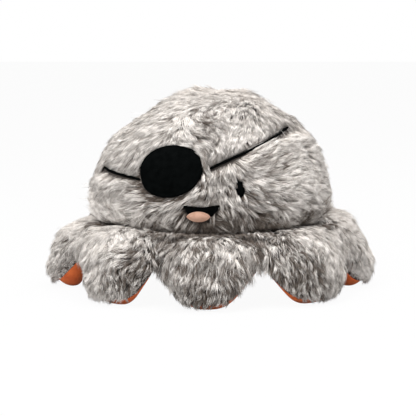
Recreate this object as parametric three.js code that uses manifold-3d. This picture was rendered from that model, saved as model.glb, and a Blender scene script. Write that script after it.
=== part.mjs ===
// A reversible plush octopus dog toy that stands on eight stuffed tentacles, with its pumpkin side
// turned in as an orange pocket underneath. Millimetres, +Z up, the face looks along -Y.
// The origin is on the floor under the middle of the toy, and azimuth is measured from the face
// towards +X. The solids are the cloth without its long pile.
import * as THREE from "three";
import { mergeVertices } from "three/addons/utils/BufferGeometryUtils.js";
import Module from "manifold-3d";

const wasm = await Module();
wasm.setup();

// Cloth and clearance
const CLEARANCE = 0.3; // between pieces that touch
const CLOTH = 2.5; // backing with the packed root of its pile
const FELT = 1.4; // face pieces

// Head: an upper half ellipsoid over a tucked-in neck
const HEAD_RADIUS = 78;
const HEAD_EQUATOR = 62; // height of the widest level
const HEAD_RISE = 69.5; // from the widest level to the crown
const HEAD_TAPER = 1.15; // above 1, the crown is narrower than an ellipsoid's
const NECK_RADIUS = 66;
const NECK_HEIGHT = 44.5;
const HEAD_SEAM_DEPTH = 2.2;
const CROWN_HOLE = 1.5; // radius at which the panel tips stop
const HEAD_PANELS = [
  { name: "head_panel_front_right", from: 0, to: 63 },
  { name: "head_panel_right", from: 63, to: 122 },
  { name: "head_panel_back_right", from: 122, to: 180 },
  { name: "head_panel_back_left", from: 180, to: 232 },
  { name: "head_panel_left", from: 232, to: 285 },
  { name: "head_panel_front_left", from: 285, to: 360 },
]; // seams by azimuth in degrees

// Pumpkin pocket: a ribbed half ellipsoid, open below
const POCKET_RADIUS = 48;
const POCKET_DEPTH = 58;
const MOUTH_HEIGHT = 27; // of the pocket's rim above the floor
const RIB_COUNT = 8;
const RIB_DEPTH = 4; // a panel's swell into the pocket between two seams

// Skirt: the eight-sided ring that joins head, pocket and tentacles
const TENTACLE_COUNT = 8;
const SKIRT_APOTHEM = 82; // from the axis to the middle of a side
const SKIRT_EDGE_HEIGHT = 29.5; // underside at the outer edge
const SKIRT_SEAM_HEIGHT = 36; // where plush meets lining on the outer wall
const SKIRT_SHOULDER = 5; // bevel at the top outer edge

// Tentacle: from the skirt's side out and down to a foot
const TENTACLE_HALF_WIDTH = 28.5;
const TENTACLE_TAPER = 1.6; // above 1, the tentacle keeps its width longer
const TENTACLE_BLUNT = 0.8; // below 1, its tip is rounder
const TENTACLE_TOP = 44.7; // root height, just under the hinge crease
const TENTACLE_UNDERSIDE = 22; // root height
// Profile points: out from the skirt's side, up from the floor
const TENTACLE_CREST = new THREE.Vector2(10.5, 40.5);
const TENTACLE_SHOULDER = new THREE.Vector2(19.5, 32);
const TENTACLE_BULGE = new THREE.Vector2(24.3, 15);
const TENTACLE_TIP = new THREE.Vector2(22.5, 5);
const TENTACLE_ARCH = new THREE.Vector2(2.5, 9);
const TENTACLE_HEEL = new THREE.Vector2(8.5, 0.2); // the sole sags below the floor between heel and
const TENTACLE_TOE = new THREE.Vector2(16, 0.4); // toe, by half a millimetre, and is pressed flat
const TENTACLE_SEAM = -25; // degrees round the section, below its middle
const LINING_REACH = 0.9; // share of the length at which the cloth closes over the stuffing
const FILL_SHORT = 0.03; // share of the length that the stuffing stops short of that
const LAST_SLOPE = 0.97; // share of the length past which the sections lean alike

// Face, measured along the head's surface; above is the height of a middle over the widest level
const PATCH = { azimuth: -20.9, above: 22.6, halfWidth: 21.5, halfHeight: 16.7, tilt: 7 };
const EYE = { azimuth: 13.8, above: 12.2, halfWidth: 3.4, halfHeight: 6.2 };
const MOUTH = { azimuth: -4.5, above: -2.9, halfWidth: 11.6, depth: 9, topSag: 1.2 };
const TONGUE = { azimuth: -5.7, above: -5, halfWidth: 7.4, halfHeight: 2.9, point: 1.5 };
const STRAP_WIDTH = 1.8;
// Straps: the side and gap they leave the patch at, above its middle, and where they end in degrees
const STRAP_LEFT = { side: -1, gap: 0.3, level: -6, azimuth: -82, rise: 16.5 };
const STRAP_RIGHT = { side: 1, gap: 4.5, level: 3.2, azimuth: 73, rise: 43.2 };
const FELT_EDGE = 0.6; // share of the felt's thickness at its cut edge
const FELT_ROUND = 0.9; // share of the outline, and of the thickness, where the edge rounds over
const FELT_RING = 0.5; // share of the outline at the ring between middle and edge

// Squeaker behind the pocket's crown
const BULB_RADIUS = 19;
const BULB_HEIGHT = 20;
const BULB_WALL = 1.2;
const BULB_EDGE = 6; // round of the drum's edges
const WHISTLE_RADIUS = 4;
const WHISTLE_LENGTH = 9;
const WHISTLE_BORE = 1.6;
const FLANGE_RADIUS = 6.5;
const FLANGE_THICKNESS = 1.4;
const REED_WIDTH = 2.4;
const REED_THICKNESS = 0.4;
const REED_LENGTH = 6;

// Facets
const PANEL_COLUMNS = 10;
const PANEL_ROWS = 17;
const RIB_COLUMNS = 4;
const RIB_ROWS = 8;
const ROUND_STEPS = 32;
const TENTACLE_ROWS = 8;
const COVER_COLUMNS = 8;
const LINING_COLUMNS = 5;
const OUTLINE_STEPS = 24;
const STRAP_ROWS = 14;
const LATHE_STEPS = 24;

const rad = THREE.MathUtils.degToRad;
const steps = (count) => Array.from({ length: count + 1 }, (_, i) => i / count);
const mix = THREE.MathUtils.lerp;

// A point by azimuth, distance from the axis and height.
function polar(azimuth, radius, height) {
  return new THREE.Vector3(radius * Math.sin(azimuth), -radius * Math.cos(azimuth), height);
}

// A closed solid through loops of equal count. Its ends are capped, or joined when it runs round.
// A loop may close to a point.
function loft(loops, runsRound = false) {
  const count = loops[0].length;
  const triangles = [];
  const quad = (a, b, c, d) => triangles.push(a, b, c, a, c, d);
  const rows = runsRound ? loops.length : loops.length - 1;
  for (let row = 0; row < rows; row++) {
    const next = (row + 1) % loops.length;
    for (let i = 0; i < count; i++) {
      const j = (i + 1) % count;
      quad(row * count + i, row * count + j, next * count + j, next * count + i);
    }
  }
  const last = (loops.length - 1) * count;
  for (let i = 0; !runsRound && i < count / 2 - 1; i++) {
    quad(count - 1 - i, count - 2 - i, i + 1, i);
    quad(last + i, last + i + 1, last + count - 2 - i, last + count - 1 - i);
  }
  const raw = new THREE.BufferGeometry().setFromPoints(loops.flat()).setIndex(triangles);
  return closed(raw);
}

// Joins shared vertices, drops collapsed faces and turns the faces out.
function closed(geometry) {
  const bare = geometry.clone();
  bare.deleteAttribute("normal");
  bare.deleteAttribute("uv");
  const merged = mergeVertices(bare, 1e-3);
  const index = merged.index.array;
  const point = (i) => new THREE.Vector3().fromBufferAttribute(merged.attributes.position, i);
  const kept = [];
  let volume = 0;
  for (let i = 0; i < index.length; i += 3) {
    const [a, b, c] = index.slice(i, i + 3);
    if (a === b || b === c || c === a) continue;
    kept.push([a, b, c]);
    volume += point(a).dot(point(b).cross(point(c)));
  }
  merged.setIndex(kept.flatMap(([a, b, c]) => (volume > 0 ? [a, b, c] : [a, c, b])));
  return merged;
}

function toSolid(geometry) {
  const made = closed(geometry);
  const vertProperties = new Float32Array(made.attributes.position.array);
  const triVerts = new Uint32Array(made.index.array);
  return new wasm.Manifold(new wasm.Mesh({ numProp: 3, vertProperties, triVerts }));
}

function toGeometry(solid) {
  const mesh = solid.getMesh();
  const position = new THREE.BufferAttribute(new Float32Array(mesh.vertProperties), 3);
  const index = new THREE.BufferAttribute(new Uint32Array(mesh.triVerts), 1);
  return new THREE.BufferGeometry().setAttribute("position", position).setIndex(index);
}

function cut(geometry, ...tools) {
  const solid = tools.reduce((left, tool) => left.subtract(toSolid(tool)), toSolid(geometry));
  return toGeometry(solid);
}

// A revolved solid about the vertical axis, from a profile of [radius, height].
function revolve(profile, count = LATHE_STEPS) {
  const points = profile.map(([radius, height]) => new THREE.Vector2(radius, height));
  return closed(new THREE.LatheGeometry(points, count).rotateX(Math.PI / 2));
}

// How full a panel is at a share of its width: 0 on its seams and 1 between them.
const fullness = (share) => Math.sqrt(Math.sin(Math.PI * THREE.MathUtils.clamp(share, 0, 1)));

function headFullness(azimuth) {
  const degrees = THREE.MathUtils.euclideanModulo(THREE.MathUtils.radToDeg(azimuth), 360);
  const panel = HEAD_PANELS.find(({ from, to }) => degrees >= from && degrees <= to);
  return fullness((degrees - panel.from) / (panel.to - panel.from));
}

// The head's distance from the axis. Rise is the ellipse angle, 0 at the widest level.
function headRadius(azimuth, rise, offset) {
  const widest = HEAD_RADIUS + offset - HEAD_SEAM_DEPTH * (1 - headFullness(azimuth));
  if (rise < 0) return NECK_RADIUS + (widest - NECK_RADIUS) * Math.cos(rise);
  return widest * Math.cos(rise) ** HEAD_TAPER;
}

function headPoint(azimuth, rise, offset = 0) {
  const half = rise < 0 ? HEAD_EQUATOR - NECK_HEIGHT : HEAD_RISE;
  const height = HEAD_EQUATOR + (half + offset) * Math.sin(rise);
  return polar(azimuth, headRadius(azimuth, rise, offset), height);
}

// The pocket's lining, whose panels swell into the pocket.
function pocketPoint(azimuth, rise, offset = 0) {
  const swell = RIB_DEPTH * Math.abs(Math.cos((azimuth * RIB_COUNT) / 2));
  const radius = (POCKET_RADIUS + offset - swell) * Math.cos(rise);
  return polar(azimuth, radius, MOUTH_HEIGHT + (POCKET_DEPTH + offset) * Math.sin(rise));
}

// A panel of cloth between two seams, as loops of its outer face and back.
function panel(surface, from, to, rises, columns, outer, inner) {
  const loops = rises.map((rise) => {
    const radius = Math.hypot(surface(from, rise).x, surface(from, rise).y);
    const margin = Math.asin(CLEARANCE / 2 / radius);
    const across = steps(columns).map((share) => mix(from + margin, to - margin, share));
    const face = across.map((azimuth) => surface(azimuth, rise, outer));
    const back = across.map((azimuth) => surface(azimuth, rise, inner));
    return [...face, ...back.reverse()];
  });
  return loft(loops);
}

// A full round of a surface, from its lowest level to its crown, on its panels' own columns.
function dome(surface, azimuths, rises, offset) {
  const loops = rises.map((rise) => azimuths.map((azimuth) => surface(azimuth, rise, offset)));
  return loft(loops);
}

const crownRise = (radius, taper = 1) => Math.acos((CROWN_HOLE / radius) ** (1 / taper));
const headCrown = crownRise(HEAD_RADIUS, HEAD_TAPER);
const headRises = steps(PANEL_ROWS).map((share) => mix(-Math.PI / 2, headCrown, share));
const pocketRises = steps(RIB_ROWS).map((share) => mix(0, crownRise(POCKET_RADIUS), share));
const upTo = (rises) => [...rises.slice(0, -1), Math.PI / 2];
const columnsOf = (from, to, columns) => steps(columns).slice(0, -1).map((share) => mix(from, to, share));
const widestColumn = Math.max(...HEAD_PANELS.map(({ from, to }) => rad(to - from) / PANEL_COLUMNS));
const headAzimuths = HEAD_PANELS.flatMap(({ from, to }) => columnsOf(rad(from), rad(to), PANEL_COLUMNS));
const ribWidth = (2 * Math.PI) / RIB_COUNT;
const ribStart = (rib) => (rib - 0.5) * ribWidth;
const ribs = Array.from({ length: RIB_COUNT }, (_, rib) => rib);
const ribAzimuths = ribs.flatMap((rib) => columnsOf(ribStart(rib), ribStart(rib + 1), RIB_COLUMNS));

// The pocket with its lining, as the space that the stuffing leaves.
function pocketSpace() {
  const hollow = dome(pocketPoint, ribAzimuths, upTo(pocketRises), CLOTH + CLEARANCE);
  const radius = POCKET_RADIUS + CLOTH + CLEARANCE;
  const mouth = revolve([[0, 0], [radius, 0], [radius, MOUTH_HEIGHT], [0, MOUTH_HEIGHT]], ROUND_STEPS);
  return toGeometry(toSolid(hollow).add(toSolid(mouth)));
}

const bulbFloor = MOUTH_HEIGHT + POCKET_DEPTH + CLOTH + CLEARANCE;
const bulbTop = bulbFloor + BULB_HEIGHT;
const flangeTop = bulbTop + CLEARANCE + FLANGE_THICKNESS;

function headFill() {
  const stuffed = dome(headPoint, headAzimuths, upTo(headRises), -CLOTH - CLEARANCE);
  const wellRadius = BULB_RADIUS + CLEARANCE;
  const wellTop = flangeTop + CLEARANCE;
  const well = revolve([[0, MOUTH_HEIGHT], [wellRadius, MOUTH_HEIGHT], [wellRadius, wellTop], [0, wellTop]]);
  return cut(stuffed, pocketSpace(), well);
}

// A ring round the axis from a section of [radius, height, squared]: a squared point lies on the
// skirt's eight sides, and any other keeps one radius all round.
function ring(section) {
  const sector = (2 * Math.PI) / TENTACLE_COUNT;
  const loops = steps(ROUND_STEPS).slice(0, -1).map((share) => {
    const azimuth = share * 2 * Math.PI;
    const fromMiddle = azimuth - Math.round(azimuth / sector) * sector;
    return section.map(([radius, height, squared]) =>
      polar(azimuth, squared ? radius / Math.cos(fromMiddle) : radius, height),
    );
  });
  return loft(loops, true);
}

const skirtTop = NECK_HEIGHT - CLEARANCE;
const skirtWall = SKIRT_APOTHEM - CLEARANCE / 2;
const skirtInside = skirtWall - CLOTH;

function skirtCover() {
  const neck = NECK_RADIUS + CLEARANCE;
  const shoulder = skirtTop - SKIRT_SHOULDER;
  const hem = SKIRT_SEAM_HEIGHT + CLEARANCE;
  return ring([
    [neck, skirtTop, false],
    [skirtWall - SKIRT_SHOULDER, skirtTop, true],
    [skirtWall, shoulder, true],
    [skirtWall, hem, true],
    [skirtInside, hem, true],
    [skirtInside, shoulder - CLOTH, true],
    [skirtWall - SKIRT_SHOULDER - CLOTH, skirtTop - CLOTH, true],
    [neck, skirtTop - CLOTH, false],
  ]);
}

function skirtLining() {
  const rim = MOUTH_HEIGHT - CLEARANCE;
  return ring([
    [POCKET_RADIUS, rim - CLOTH, false],
    [skirtWall, SKIRT_EDGE_HEIGHT - CLOTH, true],
    [skirtWall, SKIRT_SEAM_HEIGHT, true],
    [skirtInside, SKIRT_SEAM_HEIGHT, true],
    [skirtInside, SKIRT_EDGE_HEIGHT, true],
    [POCKET_RADIUS, rim, false],
  ]);
}

function skirtFill() {
  const collar = NECK_RADIUS * Math.cos(widestColumn / 2) - CLEARANCE;
  const collarTop = NECK_HEIGHT + CLOTH;
  const edge = skirtInside - CLEARANCE;
  const top = skirtTop - CLOTH - CLEARANCE;
  const bevel = SKIRT_SHOULDER + CLEARANCE;
  const core = ring([
    [POCKET_RADIUS / 2, MOUTH_HEIGHT + CLEARANCE, false],
    [POCKET_RADIUS, MOUTH_HEIGHT + CLEARANCE, false],
    [edge, SKIRT_EDGE_HEIGHT + CLEARANCE, true],
    [edge, top - bevel, true],
    [edge - bevel, top, true],
    [collar, top, false],
    [collar, collarTop, false],
    [POCKET_RADIUS / 2, collarTop, false],
  ]);
  return cut(core, pocketSpace());
}

// The tentacle's upper and lower profile, out from the skirt's side
const root = CLEARANCE / 2;
const upperProfile = new THREE.SplineCurve([
  new THREE.Vector2(root, TENTACLE_TOP),
  TENTACLE_CREST,
  TENTACLE_SHOULDER,
  TENTACLE_BULGE,
  TENTACLE_TIP,
]);
const lowerProfile = new THREE.SplineCurve([
  new THREE.Vector2(root, TENTACLE_UNDERSIDE),
  TENTACLE_ARCH,
  TENTACLE_HEEL,
  TENTACLE_TOE,
  TENTACLE_TIP,
]);
const COVER_SPAN = [TENTACLE_SEAM, 180 - TENTACLE_SEAM];
const LINING_SPAN = [180 - TENTACLE_SEAM, 360 + TENTACLE_SEAM];
const tentacleHalfWidth = (share) =>
  TENTACLE_HALF_WIDTH * (1 - share ** TENTACLE_TAPER) ** TENTACLE_BLUNT;

// The arc of a section of the front tentacle at a share of its length, from one angle to another.
function tentacleArc(share, from, to, columns, inset, lift = 0) {
  const upper = upperProfile.getPoint(share);
  const lower = lowerProfile.getPoint(share);
  const middle = upper.clone().add(lower).multiplyScalar(0.5);
  const halfHeight = Math.max(upper.distanceTo(lower) / 2 - inset, 0);
  const halfWidth = Math.max(tentacleHalfWidth(share) - inset, 0);
  const nearTip = Math.min(share, LAST_SLOPE);
  const up = upperProfile.getPoint(nearTip).sub(lowerProfile.getPoint(nearTip)).normalize();
  return steps(columns).map((part) => {
    const angle = rad(mix(from, to, part));
    const outward = middle.clone().addScaledVector(up, halfHeight * Math.sin(angle) + lift);
    return new THREE.Vector3(halfWidth * Math.cos(angle), -SKIRT_APOTHEM - outward.x, outward.y);
  });
}

function pressedFlat(geometry) {
  const depth = TENTACLE_TOP;
  const span = SKIRT_APOTHEM * 4;
  const floor = new THREE.BoxGeometry(span, span, depth).translate(0, 0, -depth / 2);
  return cut(geometry, floor);
}

// One side of the tentacle's cloth: an outer face, and a back that stops where the stuffing does.
function tentaclePanel([from, to], columns, lift) {
  const loops = steps(TENTACLE_ROWS).map((share) => {
    const ended = share === 1;
    const face = tentacleArc(share, from, to, columns, 0, lift);
    const inset = ended ? SKIRT_APOTHEM : CLOTH;
    const back = tentacleArc(share * LINING_REACH, from, to, columns, inset, lift);
    return [...face, ...back.reverse()];
  });
  return pressedFlat(loft(loops));
}

// The stuffing, on the same columns and rows as the backs of the cloth, ending just short of them.
function tentacleFill() {
  const loops = steps(TENTACLE_ROWS).map((share) => {
    const ended = share === 1;
    const reach = share * LINING_REACH - (ended ? FILL_SHORT : 0);
    const inset = ended ? SKIRT_APOTHEM : CLOTH + CLEARANCE;
    const above = tentacleArc(reach, ...COVER_SPAN, COVER_COLUMNS, inset);
    const below = tentacleArc(reach, ...LINING_SPAN, LINING_COLUMNS, inset);
    return [...above, ...below.slice(1, -1)].reverse();
  });
  return loft(loops);
}

// A place on the head, from millimetres across and up from a middle.
function onHead({ azimuth, above }, across, up, lift) {
  const along = above + up;
  const rise = along / (along < 0 ? HEAD_EQUATOR - NECK_HEIGHT : HEAD_RISE);
  const radius = headRadius(rad(azimuth), rise, 0);
  return headPoint(rad(azimuth) + across / radius, rise, lift);
}

// A face piece laid on the head, domed in its middle, inside an outline of [across, up] points.
function applique(middle, outline, lift) {
  const layer = (scale, height) =>
    outline.map(([across, up]) => onHead(middle, across * scale, up * scale, lift + height));
  const loops = [
    layer(0, 0),
    layer(FELT_RING, 0),
    layer(1, 0),
    layer(1, FELT * FELT_EDGE),
    layer(FELT_ROUND, FELT * FELT_ROUND),
    layer(FELT_RING, FELT),
    layer(0, FELT),
  ];
  return loft(loops);
}

// An oval, turned by its tilt; a point above 1 draws its two ends into corners.
function oval({ halfWidth, halfHeight, tilt = 0, point = 1 }) {
  const turn = rad(tilt);
  return steps(OUTLINE_STEPS).slice(0, -1).map((share) => {
    const angle = share * 2 * Math.PI;
    const across = halfWidth * Math.cos(angle);
    const up = halfHeight * Math.sin(angle) * Math.abs(Math.sin(angle)) ** (point - 1);
    return [
      across * Math.cos(turn) - up * Math.sin(turn),
      across * Math.sin(turn) + up * Math.cos(turn),
    ];
  });
}

// A smiling half moon: a sagging top edge over a deep lower arc.
function halfMoon({ halfWidth, depth, topSag }) {
  const half = OUTLINE_STEPS / 2;
  const lower = steps(half).map((share) => {
    const angle = Math.PI * (1 + share);
    return [halfWidth * Math.cos(angle), depth * (0.5 + Math.sin(angle))];
  });
  const upper = steps(half).slice(1, -1).map((share) => {
    const across = mix(halfWidth, -halfWidth, share);
    return [across, depth * 0.5 - topSag * Math.sin(Math.PI * share)];
  });
  return [...lower, ...upper];
}

// A strap sewn flat on the head from the patch's edge, straight as seen from the front.
function strap({ side, gap, level, azimuth: endAzimuth, rise: endRise }) {
  const start = onHead(PATCH, side * (PATCH.halfWidth + gap), level, 0);
  const finish = headPoint(rad(endAzimuth), rad(endRise));
  const half = STRAP_WIDTH / 2;
  const loops = steps(STRAP_ROWS).map((share) => {
    const rise = Math.asin((mix(start.z, finish.z, share) - HEAD_EQUATOR) / HEAD_RISE);
    const radius = HEAD_RADIUS * Math.cos(rise) ** HEAD_TAPER;
    const azimuth = THREE.MathUtils.radToDeg(Math.asin(mix(start.x, finish.x, share) / radius));
    const middle = { azimuth, above: rise * HEAD_RISE };
    return [
      onHead(middle, 0, -half, CLEARANCE),
      onHead(middle, 0, half, CLEARANCE),
      onHead(middle, 0, half, CLEARANCE + FELT),
      onHead(middle, 0, -half, CLEARANCE + FELT),
    ];
  });
  return loft(loops);
}

// A quarter round from one direction to the next, as [radius, height] points.
function corner(radius, height, round, fromDegrees) {
  return steps(4).map((share) => {
    const angle = rad(fromDegrees + 90 * share);
    return [radius + round * Math.cos(angle), height + round * Math.sin(angle)];
  });
}

function squeakerBulb() {
  const hole = WHISTLE_RADIUS + CLEARANCE;
  const middle = BULB_RADIUS - BULB_EDGE;
  const inner = BULB_EDGE - BULB_WALL;
  const low = bulbFloor + BULB_EDGE;
  const high = bulbTop - BULB_EDGE;
  return revolve([
    [0, bulbFloor],
    ...corner(middle, low, BULB_EDGE, -90),
    ...corner(middle, high, BULB_EDGE, 0),
    [hole, bulbTop],
    [hole, bulbTop - BULB_WALL],
    ...corner(middle, high, inner, 0).reverse(),
    ...corner(middle, low, inner, -90).reverse(),
    [0, bulbFloor + BULB_WALL],
  ]);
}

function squeakerWhistle() {
  const seat = bulbTop + CLEARANCE;
  const foot = flangeTop - WHISTLE_LENGTH;
  return revolve([
    [WHISTLE_BORE, foot],
    [WHISTLE_RADIUS, foot],
    [WHISTLE_RADIUS, seat],
    [FLANGE_RADIUS, seat],
    [FLANGE_RADIUS, flangeTop],
    [WHISTLE_BORE, flangeTop],
    [WHISTLE_BORE, foot],
  ]);
}

function squeakerReed() {
  const middle = flangeTop - WHISTLE_LENGTH / 2;
  return new THREE.BoxGeometry(REED_WIDTH, REED_THICKNESS, REED_LENGTH).translate(0, 0, middle);
}

// Materials
const cloth = (color) => new THREE.MeshStandardMaterial({ color, roughness: 0.95, metalness: 0 });
const greyPlush = cloth(0xb9b2ab);
const orangeVelour = cloth(0xd0622f);
const fibrefill = cloth(0xf1efe9);
const blackFelt = cloth(0x121313);
const peachFelt = cloth(0xdba286);
const bulbPlastic = new THREE.MeshStandardMaterial({ color: 0xe9e6dc, roughness: 0.5, metalness: 0 });
const whistlePlastic = new THREE.MeshStandardMaterial({ color: 0xf4f4f2, roughness: 0.4, metalness: 0 });

const toy = new THREE.Group();

function place(name, geometry, material, turn = 0) {
  const mesh = new THREE.Mesh(geometry, material);
  mesh.name = name;
  mesh.rotation.z = turn;
  toy.add(mesh);
}

// Head and face
for (const { name, from, to } of HEAD_PANELS) {
  place(name, panel(headPoint, rad(from), rad(to), headRises, PANEL_COLUMNS, 0, -CLOTH), greyPlush);
}
place("head_fill", headFill(), fibrefill);
place("eye_patch", applique(PATCH, oval(PATCH), CLEARANCE), blackFelt);
place("patch_strap_left", strap(STRAP_LEFT), blackFelt);
place("patch_strap_right", strap(STRAP_RIGHT), blackFelt);
place("eye", applique(EYE, oval(EYE), CLEARANCE), blackFelt);
place("mouth", applique(MOUTH, halfMoon(MOUTH), CLEARANCE), blackFelt);
place("tongue", applique(TONGUE, oval(TONGUE), FELT + 2 * CLEARANCE), peachFelt);

// Pocket
for (const rib of ribs) {
  const shape = panel(pocketPoint, ribStart(rib), ribStart(rib + 1), pocketRises, RIB_COLUMNS, CLOTH, 0);
  place(`pumpkin_panel_${rib + 1}`, shape, orangeVelour);
}

// Squeaker
place("squeaker_bulb", squeakerBulb(), bulbPlastic);
place("squeaker_whistle", squeakerWhistle(), whistlePlastic);
place("squeaker_reed", squeakerReed(), whistlePlastic);

// Skirt
place("skirt_cover", skirtCover(), greyPlush);
place("skirt_lining", skirtLining(), orangeVelour);
place("skirt_fill", skirtFill(), fibrefill);

// Tentacles, the first under the face
const cover = tentaclePanel(COVER_SPAN, COVER_COLUMNS, CLEARANCE / 2);
const lining = tentaclePanel(LINING_SPAN, LINING_COLUMNS, -CLEARANCE / 2);
const fill = tentacleFill();
for (let arm = 0; arm < TENTACLE_COUNT; arm++) {
  const turn = (arm * 2 * Math.PI) / TENTACLE_COUNT;
  place(`tentacle_${arm + 1}_cover`, cover, greyPlush, turn);
  place(`tentacle_${arm + 1}_lining`, lining, orangeVelour, turn);
  place(`tentacle_${arm + 1}_fill`, fill, fibrefill, turn);
}

export default toy;
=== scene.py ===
# The looks of a reversible plush octopus dog toy with an eye patch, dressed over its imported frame
from math import acos, atan2, ceil, cos, pi, radians, sin, sqrt, tan

import bmesh
import bpy
import numpy as np
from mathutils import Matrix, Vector
from mathutils.kdtree import KDTree


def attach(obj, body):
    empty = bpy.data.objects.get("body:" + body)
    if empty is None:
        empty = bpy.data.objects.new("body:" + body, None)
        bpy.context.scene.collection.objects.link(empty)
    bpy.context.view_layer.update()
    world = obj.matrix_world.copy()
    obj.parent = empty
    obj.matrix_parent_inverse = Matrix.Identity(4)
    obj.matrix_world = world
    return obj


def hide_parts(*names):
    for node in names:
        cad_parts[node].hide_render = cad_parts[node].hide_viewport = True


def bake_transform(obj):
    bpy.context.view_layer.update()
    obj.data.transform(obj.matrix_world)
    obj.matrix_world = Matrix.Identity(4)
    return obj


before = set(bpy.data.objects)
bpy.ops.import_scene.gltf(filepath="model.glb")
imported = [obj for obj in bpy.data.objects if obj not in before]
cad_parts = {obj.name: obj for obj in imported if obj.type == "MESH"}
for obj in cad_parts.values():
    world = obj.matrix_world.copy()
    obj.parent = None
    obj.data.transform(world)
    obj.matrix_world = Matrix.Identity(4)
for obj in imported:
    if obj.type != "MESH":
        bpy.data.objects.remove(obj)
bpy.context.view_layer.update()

# Metres, +Z up. The face looks along -Y, and azimuth is measured from the face towards +X
MM = 0.001
TINY = 1e-12
WELD = 1e-6

# Stage, light and camera
VIEW_TILT = radians(7)
VIEW_AIM = (-1.7 * MM, 0, 52.4 * MM)
VIEW_DISTANCE = 1.18
LENS_LENGTH = 150
SENSOR_WIDTH = 36
FLOOR_HALF = 4.0
FLOOR_DROP = 0.1 * MM
FLOOR_GREY = (0.5, 0.5, 0.5, 1)
FLOOR_WHITENESS = 0.95
AMBIENT = 0.6
LIGHT_AIM = (0, 0, 0.06)
KEY_LIGHT = dict(place=(-0.4, -0.6, 1.1), size=0.8, power=15)
TOP_LIGHT = dict(place=(0.35, -0.1, 1.2), size=0.9, power=13)

# Random fields: the peak of a sum of waves over its spread, and the seeds
WAVE_PEAK = 1.6
LUMP_SEED = 5
LAY_SEED = 11
LIFT_SEED = 17
MOTTLE_SEED = 41
WADDING_SEED = 3
HEAD_FUR_SEED = 100
ARM_FUR_SEED = 200
SKIRT_FUR_SEED = 300

# Cloth and stuffing
CLOTH = 2.5 * MM
CLEARANCE = 0.3 * MM
FELT = 1.4 * MM
WADDING_CUTS = 2
WADDING_LUMP = 0.4 * MM
WADDING_LUMP_WIDTH = 9 * MM

# Head: an upper half ellipsoid over a tucked-in neck, sewn from panels between azimuths in degrees
HEAD_RADIUS = 78 * MM
HEAD_EQUATOR = 62 * MM
HEAD_RISE = 69.5 * MM
HEAD_TAPER = 1.15
NECK_RADIUS = 66 * MM
NECK_HEIGHT = 44.5 * MM
HEAD_DROP = HEAD_EQUATOR - NECK_HEIGHT
HEAD_SEAM_DEPTH = 2.2 * MM
HEAD_LUMP = 0.9 * MM
LUMP_WIDTH = 45 * MM
SEAT_DEPTH = 1.3 * MM
SEAT_REACH = 4.5 * MM
CROWN_HOLE = 1.5 * MM
HEAD_CROWN = acos((CROWN_HOLE / HEAD_RADIUS) ** (1 / HEAD_TAPER))
HEAD_STEPS = (26, 46)
HEAD_PANELS = (
    ("front_right", 0, 63),
    ("right", 63, 122),
    ("back_right", 122, 180),
    ("back_left", 180, 232),
    ("left", 232, 285),
    ("front_left", 285, 360),
)

# Bumps of the head's stuffing: azimuth and rise in degrees, height and reach
HEAD_BUMPS = ((80, 58, 1.8 * MM, 24 * MM), (-90, 60, -2 * MM, 22 * MM))

# Pumpkin pocket
POCKET_RADIUS = 48 * MM
POCKET_DEPTH = 58 * MM
POCKET_STEPS = (22, 70)
MOUTH_HEIGHT = 27 * MM
RIB_COUNT = 8
RIB_DEPTH = 4 * MM
PUCKER = 0.45 * MM
PUCKER_PITCH = 5 * MM
PUCKER_REACH = 6 * MM

# Skirt: an octagonal plush wall under a shoulder, and a gathered lining that dips inside its edge
ARM_COUNT = 8
SECTOR = 2 * pi / ARM_COUNT
SKIRT_APOTHEM = 82 * MM
SKIRT_EDGE_HEIGHT = 29.5 * MM
SKIRT_SEAM_HEIGHT = 36 * MM
SKIRT_SHOULDER = 5 * MM
SHOULDER_ROUND = (1.4 * MM, 3.4 * MM)
SKIRT_STOPS = (0, 0.35, 0.6, 1)
SKIRT_STEPS = 256
INNER_DIP = (8 * MM, 0.8 * MM)
OUTER_DIP = (10 * MM, 1.2 * MM)
GATHER = 0.25 * MM
GATHER_COUNT = 48
GATHER_SWELLS = 7
CORNER_REACH = radians(7)
CORNER_ROUND = 11 * MM

# Tentacle profiles: out from the skirt's side and up, from a tuck under the skirt to the tip
ARM_HALF_WIDTH = 28.5 * MM
ARM_TAPER = 1.6
ARM_BLUNT = 0.8
ARM_UPPER = np.array([(-13, 45.4), (0.15, 44.7), (10.5, 40.5), (19.5, 32), (24.3, 15), (22.5, 5)]) * MM
ARM_LOWER = np.array([(-13, 26.2), (0.15, 22), (2.5, 9), (8.5, 0.2), (16, 0.4), (22.5, 5)]) * MM
ARM_ROOT = 1 / (len(ARM_UPPER) - 1)
LAST_SLOPE = 0.97
ARM_SEAM = radians(-25)
ARM_SWELL = 0.5 * MM
ARM_FLARE = 5 * MM
FLARE_END = 0.45
LEAN_END = 0.8
RISE_END = 0.7
ARM_STEPS = 44
PLUSH_STEPS = 34
VELOUR_STEPS = 24
REACH_STEPS = 61
BEND_START = (-4 * MM, 38 * MM)
BEND_END = (6 * MM, 30 * MM)

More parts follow.
